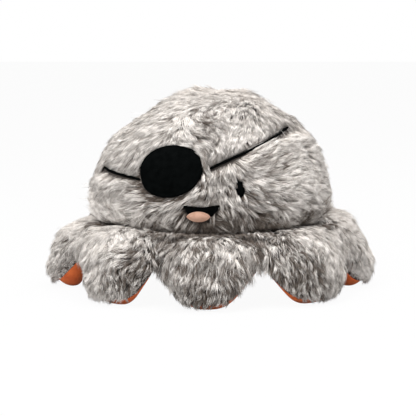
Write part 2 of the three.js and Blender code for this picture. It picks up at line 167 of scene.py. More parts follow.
# How each tentacle lies and looks, from the front one round by the right, with a dark heart in its pile
ARM_LEAN = np.array([-2, -4.5, 0, 1, -1, 0.5, 0, 10.5]) * MM
ARM_SPREAD = (1.0, 1.19, 1.0, 1.0, 1.02, 1.0, 1.0, 1.13)
ARM_RISE = np.array([-1.8, 0.5, 5.5, 0, 0, 0, -1.5, 0]) * MM
ARM_ROLL = np.radians([12, -1, 1, 0, 0, 0, 14, 5])
# ARM_TONE is painted light and shade: one pile made lighter or darker on each tentacle as light falls on
# it
ARM_TONE = (0.5, 1.0, 1.5, 0.9, 0.9, 0.9, 1.5, 1.1)
# ROOT_SHADE darkens each tentacle's pile near its root: painted shade in the crease under the head
ROOT_SHADE = (0.3, 0.35, 0.2, 0.3, 0.3, 0.3, 0.0, 0.05)
ARM_HEART = np.array([(-2, 13), (-19, 27), (-25, 30), (0, 18), (0, 18), (0, 18), (25, 27), (19, 27)]) * MM
HEART_DEPTH = (0.2, 0.95, 0.3, 0.4, 0.4, 0.4, 0.45, 1.2)
HEART_REACH = 15 * MM

# Face: azimuth of each middle in degrees, height along the surface over the widest level, and sizes
PATCH = dict(
    azimuth=-20.9, above=22.6 * MM, half_width=21.5 * MM, half_height=16.7 * MM, tilt=7,
    fringe=0.45 * MM, crown=1.6 * MM, stitches=120, steps=480)
EYE = dict(
    azimuth=13.8, above=12.2 * MM, half_width=3.4 * MM, half_height=6.2 * MM,
    fringe=1.7 * MM, crown=1.2 * MM, stitches=32, steps=160)
TONGUE = dict(
    azimuth=-5.7, above=-5 * MM, half_width=7.4 * MM, half_height=2.9 * MM, point=1.5,
    fringe=0, crown=1.0 * MM, stitches=32, steps=160)
MOUTH = dict(
    azimuth=-4.5, above=-2.9 * MM, half_width=11.6 * MM, depth=9 * MM, top_sag=1.2 * MM,
    felt_curve=1.4, fur_curve=0.8, fringe=0.3 * MM, crown=0.4 * MM, stitches=60, steps=240)
STRAP_LEFT = dict(side=-1, gap=0.3 * MM, level=-6 * MM, azimuth=-82, rise=16.5, fringe=0.3 * MM)
STRAP_RIGHT = dict(side=1, gap=4.5 * MM, level=2.4 * MM, azimuth=73, rise=42.4, fringe=0.4 * MM)
STRAP_WIDTH = 1.8 * MM
STRAP_CROWN = 0.62
STRAP_TAPER = 0.01
STRAP_TIP = 0.02
STRAP_STEPS = (12, 240)
LANE_STEPS = 40
THREAD_PITCH = 0.85 * MM
THREAD_RELIEF = 0.12

# Section of a sewn-on piece: share of its outline, height in felts, and share of the stitches' relief
STITCH_RELIEF = 0.22 * MM
DOMED_FROM = 0.9
SEWN_SECTION = (
    (0.0, 0.0, 0), (0.5, 0.0, 0), (0.97, 0.0, 0), (1.0, 0.35, 0.3), (1.0, 0.7, 0.6),
    (0.985, 0.95, 1), (0.95, 1.05, 1), (0.91, 1.0, 0.6), (0.89, 0.93, 0),
    (0.8, 0.95, 0), (0.6, 1.0, 0), (0.3, 1.0, 0), (0.0, 1.0, 0),
)

# Pile
PILE_LENGTH = 13 * MM
PILE_WIDTH = 0.3 * MM
PILE_DENSITY = 3.1e6
TRIAL_PLACES = 6000
SPARE_SHARE = 1.2
SPARE_PLACES = 100
STRANDS_PER_PIECE = 12400
STRANDS_PER_TUFT = 12
TUFT_PULL = 0.68
PULL_POWER = 1.4
ROOT_SINK = 0.6 * MM
ROOT_GAP = 0.3 * MM
STAND_AT_ROOT = 1.25
DROOP = 1.15
RING_AT = np.array([0.0, 0.36, 0.7, 1.0])
RING_WIDTH = np.array([0.85, 1.0, 0.72])
RINGS = len(RING_WIDTH)
SIDES = 3
UV_MARGIN = 0.02
UV_SPAN = 1 - 2 * UV_MARGIN
UV_LANE = 0.004
FLOOR_GAP = 0.3 * MM
TRIMMING = 8
TRIM = 0.8
TRIM_TESTS = (0.2, 0.4, 0.6, 0.8, 1)
MOTTLE = (0.14, 11 * MM)
LOWEST_FUR = -1.12

# Spread of the strands: between tufts and within a tuft, and limits
TURN_SPREAD = (0.2, 0.06)
CURL_SPREAD = (0.34, 0.1)
STAND_SPREAD = (0.22, 0.12)
STAND_LIMITS = (0.06, 1.45)
LENGTH_SPREAD = (0.10, 0.10)
LENGTH_LIMITS = (0.5, 1.4)
TONE_SPREAD = (0.31, 0.18)
WIDTH_LIMITS = (0.8, 1.25)

# Pile by place: swirls and waves, the crop under the patch, and how tentacles and skirt differ
HEAD_SWIRL = (0.25, 22 * MM)
ARM_SWIRL = (0.4, 24 * MM)
LIFT_WAVE = (0.2, 26 * MM)
CROP_BAND = (3.5 * MM, 1 * MM)
CROP_BELOW = -6 * MM
CROP = 0.5
# CROP_SHADE darkens the cropped pile under the patch: painted shadow of its edge, with the pile's dark
# roots
CROP_SHADE = 0.7
ARM_FUR_SPAN = (0.06, 0.985)
ARM_AHEAD = 0.01
ARM_ASIDE = np.array([0.7, 0, 0])
ARM_DOWN = np.array([0, 0, -0.35])
SEAM_BAND = (0.05, 0.6)
SEAM_LENGTH = 0.25
LOW_BAND = (32 * MM, 10 * MM)
LOW_CROP = 0.4
LOW_LIFT = 0.7
# LOW_SHADE darkens the lower part of each tentacle: painted shade where it turns from the light, and the
# dark roots that show there
LOW_SHADE = 0.2
ROOT_BAND = (0.32, 0.1)
ROOT_CROP = 0.1
ARM_LIFT = 0.42
HEART_LIFT = 0.4
HEART_CROP = 0.22
ARM_CONTRAST = 1.25
SKIRT_DOWN = np.array([0, 0, -1.2])
SKIRT_LENGTH = 0.75
SKIRT_LIFT = 0.5
SKIRT_TONE = 0.2
CHIN_CROP = 0.2
CHIN_LIFT = 0.1
# CHIN_SHADE darkens the skirt's pile under the chin, partly as painted shade under the head
CHIN_SHADE = 0.6

# Lay of the head's pile: azimuth, rise, the way the tips point (right, back, up), lift, length and tone,
# which paints light and shade in places
HEAD_LAY = (
    (-78, 32, (-0.5, 0.6, -0.8), 0.36, 1, 1.02),
    (-44, 53, (-0.7, 0, -0.7), 0.28, 1, 0.85),
    (-80, 60, (-0.8, 0.2, -0.6), 0.18, 0.9, 0.85),
    (-36, 42, (-0.5, 0, -0.85), 0.3, 1, 0.85),
    (-20, 43, (0.05, 0, -1), 0.34, 1, 0.75),
    (-9, 37, (0.55, 0, -0.8), 0.34, 1, 0.75),
    (-14, 54, (0.2, 0, -0.9), 0.36, 1, 0.8),
    (-6, 48, (0.95, 0, -0.2), 0.5, 0.9, 0.7),
    (0, 56, (0.1, 0, -1), 0.5, 0.7, 0.7),
    (1, 45, (-0.1, 0, -1), 0.5, 0.7, 0.5),
    (0, 34, (-0.1, 0, -1), 0.45, 0.9, 0.45),
    (-14, 66, (-0.8, -0.3, -0.5), 0.28, 1, 1),
    (0, 84, (-0.5, -0.8, 0), 0.3, 1, 1),
    (14, 58, (-0.35, 0, -0.9), 0.34, 1, 0.93),
    (16, 44, (-0.4, 0, -0.9), 0.36, 1, 0.9),
    (47, 66, (-0.4, -0.4, -0.8), 0.34, 1, 0.9),
    (33, 46, (-0.45, 0, -0.85), 0.36, 1, 0.9),
    (52, 52, (-0.35, 0, -0.9), 0.36, 1, 0.9),
    (76, 50, (-0.1, 0, -0.95), 0.34, 1, 0.85),
    (90, 64, (0.1, -0.2, -0.9), 0.34, 1, 0.85),
    (28, 26, (0.65, 0.2, 0.6), 0.45, 0.9, 0.5),
    (50, 26, (0.85, 0.3, 0.4), 0.4, 1, 0.8),
    (82, 22, (0.7, 0.7, -0.1), 0.36, 1, 0.95),
    (80, 2, (0.6, 0.7, -0.4), 0.36, 1, 0.85),
    (50, 8, (0.95, 0.3, -0.15), 0.5, 1, 0.98),
    (40, -20, (0.9, 0.2, -0.3), 0.55, 1, 1.15),
    (62, -25, (0.7, 0.4, -0.4), 0.5, 1, 0.9),
    (22, 4, (0.7, 0, -0.4), 0.8, 0.7, 0.55),
    (4, 10, (0.2, 0, -1), 0.8, 0.6, 0.65),
    (-8, 6, (-0.75, 0, -0.6), 0.65, 0.7, 0.8),
    (-20, -3, (-0.95, 0, -0.3), 0.5, 0.8, 0.85),
    (-38, 2, (-0.9, 0.2, -0.2), 0.5, 0.9, 0.75),
    (-66, 2, (-0.8, 0.5, -0.35), 0.4, 1, 1.02),
    # Under the chin the low tones are painted shade under the head
    (-10, -36, (-0.8, 0, -0.6), 1, 0.75, -0.1),
    (2, -36, (0.75, 0, -0.65), 1, 0.75, -0.1),
    (18, -34, (0.4, 0, -0.9), 1, 0.8, 0),
    (-26, -34, (-0.4, 0, -0.9), 0.7, 0.8, 0.2),
    # Lower edge: low tones at the front and right paint the crease's shade, high tones at the left paint
    # light over it
    (0, -60, (0.1, -1, 0), 0.35, 1, -0.3),
    (24, -60, (0.5, -0.9, 0), 0.35, 1, -0.3),
    (-24, -60, (-0.5, -0.9, 0), 0.35, 1, 0.3),
    (46, -60, (0.8, -0.7, 0), 0.35, 1, -0.2),
    (70, -60, (0.9, -0.4, 0), 0.35, 1, -0.1),
    (-46, -60, (-0.8, -0.7, 0), 0.35, 1, 0.8),
    (-75, -60, (-0.9, -0.3, 0), 0.35, 1, 0.95),
    (120, 20, (0.1, 0.8, -0.6), 0.38, 1, 0.75),
    (120, 60, (0.3, 0.6, -0.7), 0.35, 1, 0.8),
    (180, 80, (-0.6, -0.6, 0), 0.45, 1, 0.9),
    (150, 72, (0.6, 0.3, -0.2), 0.6, 1, 0.9),
    (205, 70, (-0.2, 0.7, -0.3), 0.55, 1, 0.9),
    (180, 20, (0.1, 0.2, -1), 0.38, 1, 0.75),
    (180, 55, (-0.2, 0.9, -0.4), 0.4, 1, 0.8),
    (-120, 20, (-0.1, 0.8, -0.6), 0.38, 1, 0.75),
    (-120, 60, (-0.5, 0.6, -0.5), 0.35, 1, 0.8),
)
LAY_REACH = 8 * MM

# Partings of the head's pile: azimuth and rise in degrees, reach, and how much darker they are
# Their darkness is the pile's dark roots, and painted shade in the front seam's gap and under the patch's
# lower edge
PARTINGS = (
    (0, 60, 4 * MM, 0.8),
    (-1, 52, 4 * MM, 0.8),
    (-2, 46, 4.5 * MM, 1.0),
    (-3, 39, 4 * MM, 0.8),
    (-5, 33, 3.5 * MM, 0.6),
    (-16, 56, 3 * MM, 0.45),
    (-34, 8, 5 * MM, 0.7),
    (-27, 3, 4 * MM, 0.5),
    (-16, 3, 4 * MM, 0.4),
    (12, 1, 5 * MM, 0.4),
    (40, 20, 6 * MM, 0.3),
    (26, -30, 6 * MM, 0.2),
)


# Shapes
def polar(azimuth, radius, height):
    """A point by azimuth, distance from the axis and height."""
    return np.stack([radius * np.sin(azimuth), -radius * np.cos(azimuth), height + 0 * azimuth], axis=-1)


def smooth(low, high, value):
    """From 0 at low to 1 at high without a corner, either way round."""
    share = np.clip((value - low) / (high - low), 0, 1)
    return share * share * (3 - 2 * share)


def around(count):
    """Angles all the way round."""
    return np.linspace(0, 2 * pi, count, endpoint=False)


def nearness(places, middle, reach):
    """1 at a middle, fading out with distance."""
    return np.exp(-np.sum((places - middle) ** 2, axis=-1) / reach**2)


def unit(vectors):
    """Vectors brought to a length of 1."""
    return vectors / np.maximum(np.linalg.norm(vectors, axis=-1, keepdims=True), TINY)


def soft_waves(points, wavelength, seed, count=7):
    """A smooth random field over space, mostly between -1 and 1: a sum of plane waves."""
    random = np.random.default_rng(seed)
    total = np.zeros(points.shape[:-1])
    for _ in range(count):
        heading = random.normal(size=3)
        heading /= np.linalg.norm(heading)
        phase = random.uniform(0, 2 * pi)
        total += np.sin(points @ heading * (2 * pi / wavelength) + phase)
    return total * sqrt(2 / count) / WAVE_PEAK


def head_fullness(azimuth):
    """How full the head is at an azimuth: 0 on a seam and 1 in the middle of a panel."""
    degrees = np.degrees(azimuth) % 360
    full = np.zeros_like(degrees)
    for _, start, end in HEAD_PANELS:
        inside = (degrees >= start) & (degrees <= end)
        share = np.clip((degrees - start) / (end - start), 0, 1)
        full = np.where(inside, np.sqrt(np.abs(np.sin(pi * share))), full)
    return full


def head_radius(azimuth, rise, offset=0.0):
    widest = HEAD_RADIUS + offset - HEAD_SEAM_DEPTH * (1 - head_fullness(azimuth))
    below = NECK_RADIUS + (widest - NECK_RADIUS) * np.cos(rise)
    return np.where(rise < 0, below, widest * np.cos(np.maximum(rise, 0)) ** HEAD_TAPER)


def head_point(azimuth, rise, offset=0.0):
    """The head's surface. Rise is the ellipse angle, 0 at the widest level."""
    half = np.where(rise < 0, HEAD_DROP, HEAD_RISE)
    height = HEAD_EQUATOR + (half + offset) * np.sin(rise)
    return polar(azimuth, head_radius(azimuth, rise, offset), height)


def head_skin(azimuth, rise, offset=0.0):
    """The head's surface with the soft lumps of its stuffing, drawn in along the straps."""
    places = head_point(azimuth, rise)
    lump = HEAD_LUMP * soft_waves(places, LUMP_WIDTH, LUMP_SEED)
    for *middle, height, reach in HEAD_BUMPS:
        lump = lump + height * nearness(places, head_point(*np.radians(middle)), reach)
    from_strap = np.minimum(outside_strap(STRAP_LEFT, places), outside_strap(STRAP_RIGHT, places))
    seat = SEAT_DEPTH * np.exp(-((from_strap / SEAT_REACH) ** 2))
    return head_point(azimuth, rise, offset + lump - seat)


def rib_swell(azimuth):
    return RIB_DEPTH * np.abs(np.cos(azimuth * RIB_COUNT / 2))


def pocket_skin(azimuth, rise, offset=0.0):
    """The pocket's lining, whose ribs swell into it and pucker along their seams."""
    from_seam = np.abs((azimuth / SECTOR) % 1 - 0.5) * SECTOR * POCKET_RADIUS * np.cos(rise)
    pucker = PUCKER * np.sin(rise * POCKET_DEPTH * 2 * pi / PUCKER_PITCH)
    swell = rib_swell(azimuth) + pucker * np.exp(-from_seam / PUCKER_REACH)
    radius = (POCKET_RADIUS + offset - swell) * np.cos(rise)
    return polar(azimuth, radius, MOUTH_HEIGHT + (POCKET_DEPTH + offset) * np.sin(rise))


def spline(points, share):
    """A smooth curve through points, each a like share of its length."""
    last = len(points) - 1
    place = np.clip(share, 0, 1) * last
    i = np.minimum(place.astype(int), last - 1)
    t = (place - i)[..., None]
    before, start = points[np.maximum(i - 1, 0)], points[i]
    end, after = points[i + 1], points[np.minimum(i + 2, last)]
    leave, arrive = (end - before) / 2, (after - start) / 2
    cubic = 2 * start - 2 * end + leave + arrive
    square = 3 * end - 3 * start - 2 * leave - arrive
    return ((cubic * t + square) * t + leave) * t + start


def arm_skin(arm, angle, share, offset=0.0):
    """A tentacle's surface, turned to the front, by angle round its section and share of its length."""
    upper, lower = spline(ARM_UPPER, share), spline(ARM_LOWER, share)
    middle = (upper + lower) / 2
    half_height = np.maximum(np.linalg.norm(upper - lower, axis=-1) / 2 + offset, 0)
    before_tip = np.minimum(share, LAST_SLOPE)
    up = unit(spline(ARM_UPPER, before_tip) - spline(ARM_LOWER, before_tip))
    reach = np.clip((share - ARM_ROOT) / (1 - ARM_ROOT), 0, 1)
    half_width = ARM_SPREAD[arm] * ARM_HALF_WIDTH * (1 - reach**ARM_TAPER) ** ARM_BLUNT
    half_width = half_width + ARM_FLARE * smooth(FLARE_END, 0, reach)
    sector_width = (SKIRT_APOTHEM + middle[..., 0]) * tan(SECTOR / 2) - CLEARANCE
    half_width = np.maximum(np.minimum(half_width, sector_width) + offset, 0)
    out = middle + up * (half_height * np.sin(angle))[..., None]
    out[..., 1] += ARM_RISE[arm] * smooth(-1, 1, np.sin(angle)) * smooth(RISE_END, 0, reach)
    across = half_width * np.cos(angle) + arm_lean(arm, reach)
    return np.stack([across, -SKIRT_APOTHEM - out[..., 0], np.maximum(out[..., 1], 0)], axis=-1)


def arm_lean(arm, reach):
    """How far a tentacle bends sideways, from its root to its tip."""
    return ARM_LEAN[arm] * smooth(0, LEAN_END, reach)


def arm_reach(points):
    """The share of the way from root to tip at points of a tentacle turned to the front."""
    reach = np.linspace(0, 1, REACH_STEPS)
    share = ARM_ROOT + reach * (1 - ARM_ROOT)
    upper, lower = spline(ARM_UPPER, share), spline(ARM_LOWER, share)
    through = lower - upper
    place = np.stack([-SKIRT_APOTHEM - points[:, 1], points[:, 2]], axis=-1)[:, None, :]
    part = np.sum((place - upper) * through, axis=-1) / np.maximum(np.sum(through**2, axis=-1), TINY)
    nearest = upper + np.clip(part, 0, 1)[..., None] * through
    return reach[np.argmin(np.linalg.norm(place - nearest, axis=-1), axis=1)]


def turned(points, azimuth):
    """Points carried round the axis from the front."""
    c, s = cos(azimuth), sin(azimuth)
    x, y, z = points[..., 0], points[..., 1], points[..., 2]
    return np.stack([c * x - s * y, s * x + c * y, z], axis=-1)


def face_place(middle, across, up):
    """Azimuth and rise of a place on the head, from lengths across and up from a middle."""
    along = middle["above"] + up
    rise = along / np.where(along < 0, HEAD_DROP, HEAD_RISE)
    azimuth = radians(middle["azimuth"])
    return azimuth + across / head_radius(np.full_like(rise, azimuth), rise), rise


def from_middle(middle, points):
    """Lengths across and up from a middle to points on or near the head."""
    azimuth = np.arctan2(points[..., 0], -points[..., 1])
    reach = np.hypot(points[..., 0], points[..., 1])
    height = points[..., 2] - HEAD_EQUATOR
    rise = np.arctan2(np.maximum(height, 0) / HEAD_RISE, (reach / HEAD_RADIUS) ** (1 / HEAD_TAPER))
    below = np.arcsin(np.clip(height / HEAD_DROP, -1, 0)) * HEAD_DROP
    across = (azimuth - radians(middle["azimuth"])) * HEAD_RADIUS * np.cos(rise) ** HEAD_TAPER
    return across, rise * HEAD_RISE + below - middle["above"]


def strap_line(strap, share):
    """Azimuth and rise along a strap from the patch, straight as seen from the front."""
    edge = np.array(strap["side"] * (PATCH["half_width"] + strap["gap"]))
    start = head_point(*face_place(PATCH, edge, np.array(strap["level"])))
    end = head_point(*np.radians((strap["azimuth"], strap["rise"])))
    line = start + (end - start) * share[..., None]
    rise = np.arcsin((line[..., 2] - HEAD_EQUATOR) / HEAD_RISE)
    return np.arcsin(line[..., 0] / (HEAD_RADIUS * np.cos(rise) ** HEAD_TAPER)), rise


def as_seen(points):
    """Across and up, looking at the face from a little above."""
    return points[..., 0], points[..., 2] * cos(VIEW_TILT) + points[..., 1] * sin(VIEW_TILT)


def outside_strap(strap, points):
    """How far a place lies outside a strap, as seen from the front."""
    line = head_point(*strap_line(strap, np.linspace(0, 1, LANE_STEPS)))
    line_across, line_up = as_seen(line[np.argsort(line[:, 0])])
    across, up = as_seen(points)
    slant = atan2(line_up[-1] - line_up[0], line_across[-1] - line_across[0])
    off = (up - np.interp(across, line_across, line_up)) * cos(slant)
    beyond = np.maximum(np.maximum(line_across[0] - across, across - line_across[-1]), 0)
    return np.where(points[..., 1] < 0, np.hypot(off, beyond), HEAD_RADIUS) - STRAP_WIDTH / 2


# Meshes
def piece_from(name, points, faces, slot):
    """A piece from points and faces, with doubled points joined and all faces turned out."""
    mesh = bpy.data.meshes.new(name)
    mesh.from_pydata(points.reshape(-1, 3).tolist(), [], faces)
    shaped = bmesh.new()
    shaped.from_mesh(mesh)
    bmesh.ops.remove_doubles(shaped, verts=shaped.verts, dist=WELD)
    bmesh.ops.recalc_face_normals(shaped, faces=shaped.faces)
    shaped.to_mesh(mesh)
    shaped.free()
    return place_piece(name, mesh, slot)


def add_object(name, data):
    """A new object in the scene."""
    added = bpy.data.objects.new(name, data)
    bpy.context.scene.collection.objects.link(added)
    return added


def place_piece(name, mesh, slot, material=None):
    """A smooth piece in the scene, of its slot's cloth or of another material."""
    mesh.polygons.foreach_set("use_smooth", np.ones(len(mesh.polygons), bool))
    mesh.materials.clear()
    mesh.materials.append(material or CLOTHS[slot])
    piece = add_object(name, mesh)
    return piece


def loft(name, loops, slot, runs_round=False):
    """A piece through loops of equal count, with the ends capped, or joined when it runs round."""
    rows, count = loops.shape[:2]
    faces = []
    for row in range(rows if runs_round else rows - 1):
        here, there = row * count, (row + 1) % rows * count
        for i in range(count):
            j = (i + 1) % count
            faces.append((here + i, here + j, there + j, there + i))
    last = (rows - 1) * count
    for i in range(0 if runs_round else count // 2 - 1):
        faces.append((count - 1 - i, count - 2 - i, i + 1, i))
        faces.append((last + i, last + i + 1, last + count - 2 - i, last + count - 1 - i))
    return piece_from(name, loops, faces, slot)


def shell(name, surface, across, along, outer, inner, slot):
    """A closed sheet of cloth over a surface: its face and its back."""
    u, v = np.meshgrid(across, along)
    face, back = surface(u, v, outer), surface(u, v, inner)
    return loft(name, np.concatenate([face, back[:, ::-1]], axis=1), slot)


# Materials
def new_material(name, roughness, **sockets):
    """A material with its constants set straight on the shader."""
    material = bpy.data.materials.new(name)
    material.use_nodes = True
    shader = material.node_tree.nodes["Principled BSDF"]
    shader.inputs["Roughness"].default_value = roughness
    for socket, value in sockets.items():
        shader.inputs[socket.replace("_", " ")].default_value = value
    return material, material.node_tree, shader


def add_node(tree, kind, *inputs, **named):
    """A new node, its inputs linked from sockets or set to constants."""
    node = tree.nodes.new(kind)
    for key, value in (*enumerate(inputs), *named.items()):
        if isinstance(value, bpy.types.NodeSocket):
            tree.links.new(value, node.inputs[key])
        else:
            node.inputs[key].default_value = value
    return node


def ramp(tree, source, *stops):
    """A colour ramp over a source, from stops of place and colour."""
    node = add_node(tree, "ShaderNodeValToRGB", Fac=source)
    elements = node.color_ramp.elements
    while len(elements) < len(stops):
        elements.new(0.5)
    for element, (place, colour) in zip(elements, stops):
        element.position = place
        element.color = (*colour, 1)
    return node.outputs["Color"]


def noise(tree, scale, detail):
    """Noise in object space, whose grain is about 1 / scale metres."""
    where = add_node(tree, "ShaderNodeTexCoord").outputs["Object"]
    return add_node(tree, "ShaderNodeTexNoise", Vector=where, Scale=scale, Detail=detail).outputs["Fac"]


def pile_material():
    """Frosted pile: dark roots and pale tips, along V, with a tone for each strand, along U."""
    material, tree, shader = new_material("grey_pile", roughness=0.75, Specular_IOR_Level=0.12)
    place = add_node(tree, "ShaderNodeUVMap")
    place.uv_map = "OFBake"
    split = add_node(tree, "ShaderNodeSeparateXYZ", Vector=place.outputs["UV"])
    along = split.outputs["Y"]
    roots = (0.075, 0.058, 0.048)
    deep = ramp(tree, along, (0.0, roots), (0.5, (0.122, 0.094, 0.075)), (1.0, (0.25, 0.215, 0.184)))
    pale = ramp(tree, along, (0.0, roots), (0.28, (0.72, 0.663, 0.612)), (0.6, (0.965, 0.922, 0.88)))
    tone = tree.nodes.new("ShaderNodeMix")
    tone.data_type = "RGBA"
    tree.links.new(split.outputs["X"], tone.inputs["Factor"])
    tree.links.new(deep, tone.inputs["A"])
    tree.links.new(pale, tone.inputs["B"])
    tree.links.new(tone.outputs["Result"], shader.inputs["Base Color"])
    return material


def clouded(name, dark, pale, patches, fibres, grain,
            roughness=0.9, spread=0.2, detail=4, relief=0.6, **sockets):
    """A material whose tone wanders in patches, with a fine grain."""
    material, tree, shader = new_material(name, roughness, **sockets)
    stops = (0.5 - spread, dark), (0.5 + spread, pale)
    tree.links.new(ramp(tree, noise(tree, patches, detail), *stops), shader.inputs["Base Color"])
    height = noise(tree, fibres, detail - 1)
    bump = add_node(tree, "ShaderNodeBump", Strength=relief, Distance=grain, Height=height)
    tree.links.new(bump.outputs["Normal"], shader.inputs["Normal"])
    return material


grey_pile = pile_material()
CLOTHS = {
    "grey_plush": clouded(
        "grey_backing", dark=(0.05, 0.041, 0.035), pale=(0.1, 0.085, 0.075),
        patches=120, fibres=1400, grain=0.5 * MM),
    "orange_velour": clouded(
        "orange_velour", dark=(0.6, 0.1, 0.021), pale=(0.82, 0.175, 0.038),
        patches=130, fibres=1700, grain=0.3 * MM,
        Sheen_Weight=0.35, Sheen_Roughness=0.45, Sheen_Tint=(1.0, 0.55, 0.3, 1)),
    "fibrefill": clouded(
        "fibrefill", dark=(0.74, 0.73, 0.70), pale=(0.88, 0.87, 0.84),
        patches=160, fibres=600, grain=1.2 * MM),
    "black_felt": clouded(
        "black_felt", dark=(0.0011, 0.0014, 0.0014), pale=(0.0024, 0.0029, 0.0029),
        patches=260, fibres=1500, grain=0.3 * MM, Specular_IOR_Level=0.008),
    "peach_felt": clouded(
        "peach_felt", dark=(0.44, 0.245, 0.17), pale=(0.56, 0.34, 0.25),
        patches=300, fibres=1500, grain=0.3 * MM),
}
PLASTIC = dict(patches=90, fibres=700, grain=0.05 * MM, spread=0.15, detail=3, relief=0.25)
squeaker_vinyl = clouded(
    "squeaker_vinyl", dark=(0.74, 0.70, 0.60), pale=(0.82, 0.79, 0.70), roughness=0.45, **PLASTIC)
whistle_plastic = clouded(
    "whistle_plastic", dark=(0.84, 0.84, 0.82), pale=(0.90, 0.90, 0.88), roughness=0.35, **PLASTIC)


# Pile
def surface_frame(surface, u, v):
    """Points of a surface, their outward normals, and the area that a unit of u and v covers there."""
    step = 1e-4
    place = surface(u, v)
    normal = np.cross(surface(u + step, v) - place, surface(u, v + step) - place) / step**2
    area = np.linalg.norm(normal, axis=-1)
    return place, normal / np.maximum(area, TINY)[:, None], area


def scatter(surface, u_range, v_range, random):
    """Even random places on a surface: u, v, points and normals."""
    span = (u_range[1] - u_range[0]) * (v_range[1] - v_range[0])
    u, v = random.uniform(*u_range, TRIAL_PLACES), random.uniform(*v_range, TRIAL_PLACES)
    area = surface_frame(surface, u, v)[2]
    wanted = int(PILE_DENSITY * area.mean() * span)
    tries = int(wanted * area.max() / area.mean() * SPARE_SHARE) + SPARE_PLACES
    u, v = random.uniform(*u_range, tries), random.uniform(*v_range, tries)
    place, normal, local = surface_frame(surface, u, v)
    kept = np.flatnonzero(random.uniform(0, area.max(), tries) < local)[:wanted]
    return u[kept], v[kept], place[kept], normal[kept]


def along_surface(heading, normal):
    """A heading laid on the surface, as a unit vector."""
    return unit(heading - normal * np.sum(heading * normal, axis=-1, keepdims=True))


def waved(wave, places, seed):
    """Waves over places, from their height and width."""
    height, width = wave
    return height * soft_waves(places, width, seed)


def swirled(lay, normals, turn):
    """A lay turned this way and that on its surface."""
    turn = turn[:, None]
    return lay * np.cos(turn) + np.cross(normals, lay) * np.sin(turn)


def tufts_of(places, random):
    """The seat of each strand's tuft, as indices of strands, and the tuft's number."""
    count = max(len(places) // STRANDS_PER_TUFT, 1)
    seats = random.choice(len(places), count, replace=False)
    tree = KDTree(count)
    for i, seat in enumerate(seats):
        tree.insert(places[seat], i)
    tree.balance()
    return seats, np.array([tree.find(place)[1] for place in places])


def strand_paths(places, normals, lay, length, lift, roundness, random, clear):
    """The centre line of each strand, bent over, drawn to its tuft and trimmed clear, and its tone."""
    count = len(places)
    seats, tuft = tufts_of(places, random)

    def spread(between_tufts, within):
        return random.normal(0, between_tufts, len(seats))[tuft] + random.normal(0, within, count)

    turn = spread(*TURN_SPREAD)
    curl = spread(*CURL_SPREAD)
    stand = np.clip(lift * (1 + spread(*STAND_SPREAD)), *STAND_LIMITS)
    length = length * np.clip(1 + spread(*LENGTH_SPREAD), *LENGTH_LIMITS)
    tone = spread(*TONE_SPREAD) + waved(MOTTLE, places, MOTTLE_SEED)
    side = np.cross(normals, lay)
    shape = np.zeros((count, len(RING_AT), 3))
    for ring in range(1, len(RING_AT)):
        share = (RING_AT[ring - 1] + RING_AT[ring]) / 2
        angle = (stand * (STAND_AT_ROOT - DROOP * share) - length * share / roundness)[:, None]
        bearing = (turn + curl * share)[:, None]
        heading = lay * np.cos(bearing) + side * np.sin(bearing)
        step = heading * np.cos(angle) + normals * np.sin(angle)
        shape[:, ring] = shape[:, ring - 1] + step * (RING_AT[ring] - RING_AT[ring - 1])
    pull = (TUFT_PULL * RING_AT**PULL_POWER)[None, :, None]
    shape += (places[seats][tuft] - places)[:, None, :] * pull / PILE_LENGTH
    foot = (places - normals * ROOT_SINK)[:, None, :]
    for _ in range(TRIMMING):
        paths = foot + shape * length[:, None, None]
        step = np.diff(paths, axis=1)
        tested = np.concatenate([paths[:, :-1] + step * share for share in TRIM_TESTS], axis=1)
        inside = np.min(clear(tested), axis=1) < 0
        length = np.where(inside, length * TRIM, length)
    paths[..., 2] = np.maximum(paths[..., 2], FLOOR_GAP)
    return paths[~inside], tone[~inside], ~inside


def fur_pieces(name, paths, normals, tone, random):
    """Pieces of fur along paths, each small enough to keep all its strands."""
    count = ceil(len(paths) / STRANDS_PER_PIECE)
    for part in range(count):
        own = slice(part, None, count)
        yield strand_piece(f"{name}_{part + 1}", paths[own], normals[own], tone[own], random)


def strand_piece(name, paths, normals, tone, random):
    """Closed three-sided tapering strands along paths, with U for the tone and V from root to tip."""
    count = len(paths)
    ahead = unit(np.gradient(paths, axis=1)[:, :RINGS])
    side = unit(np.cross(ahead, normals[:, None, :]))
    up = np.cross(ahead, side)
    width = PILE_WIDTH * random.uniform(*WIDTH_LIMITS, count)
    half = width[:, None, None] / 2 * RING_WIDTH[None, :, None]
    corners = []
    for corner in range(SIDES):
        turn = pi / 2 + corner * 2 * pi / SIDES
        corners.append(paths[:, :RINGS] + half * (side * cos(turn) + up * sin(turn)))
    rings = np.stack(corners, axis=2).reshape(count, RINGS * SIDES, 3)
    points = np.concatenate([rings, paths[:, RINGS:]], axis=1)
    corner_of, ring_of, sizes = strand_faces()
    corners_each, faces_each = len(corner_of), len(sizes)
    mesh = bpy.data.meshes.new(name)
    mesh.vertices.add(count * points.shape[1])
    mesh.loops.add(count * corners_each)
    mesh.polygons.add(count * faces_each)
    mesh.vertices.foreach_set("co", points.astype(np.float32).ravel())
    index = np.arange(count)[:, None] * points.shape[1] + corner_of[None, :]
    mesh.loops.foreach_set("vertex_index", index.astype(np.int32).ravel())
    starts = np.concatenate([[0], np.cumsum(sizes)[:-1]])
    starts = np.arange(count)[:, None] * corners_each + starts[None, :]
    mesh.polygons.foreach_set("loop_start", starts.astype(np.int32).ravel())
    mesh.update(calc_edges=True)
    column = UV_MARGIN + UV_SPAN * np.clip(tone, 0, 1)
    uv = np.empty((count, corners_each, 2), np.float32)
    uv[:, :, 0] = column[:, None] + UV_LANE * (corner_of % SIDES - 1)[None, :]
    uv[:, :, 1] = (UV_MARGIN + UV_SPAN * ring_of)[None, :]
    mesh.uv_layers.new(name="OFBake").data.foreach_set("uv", uv.ravel())
    return place_piece(name, mesh, "grey_plush", grey_pile)


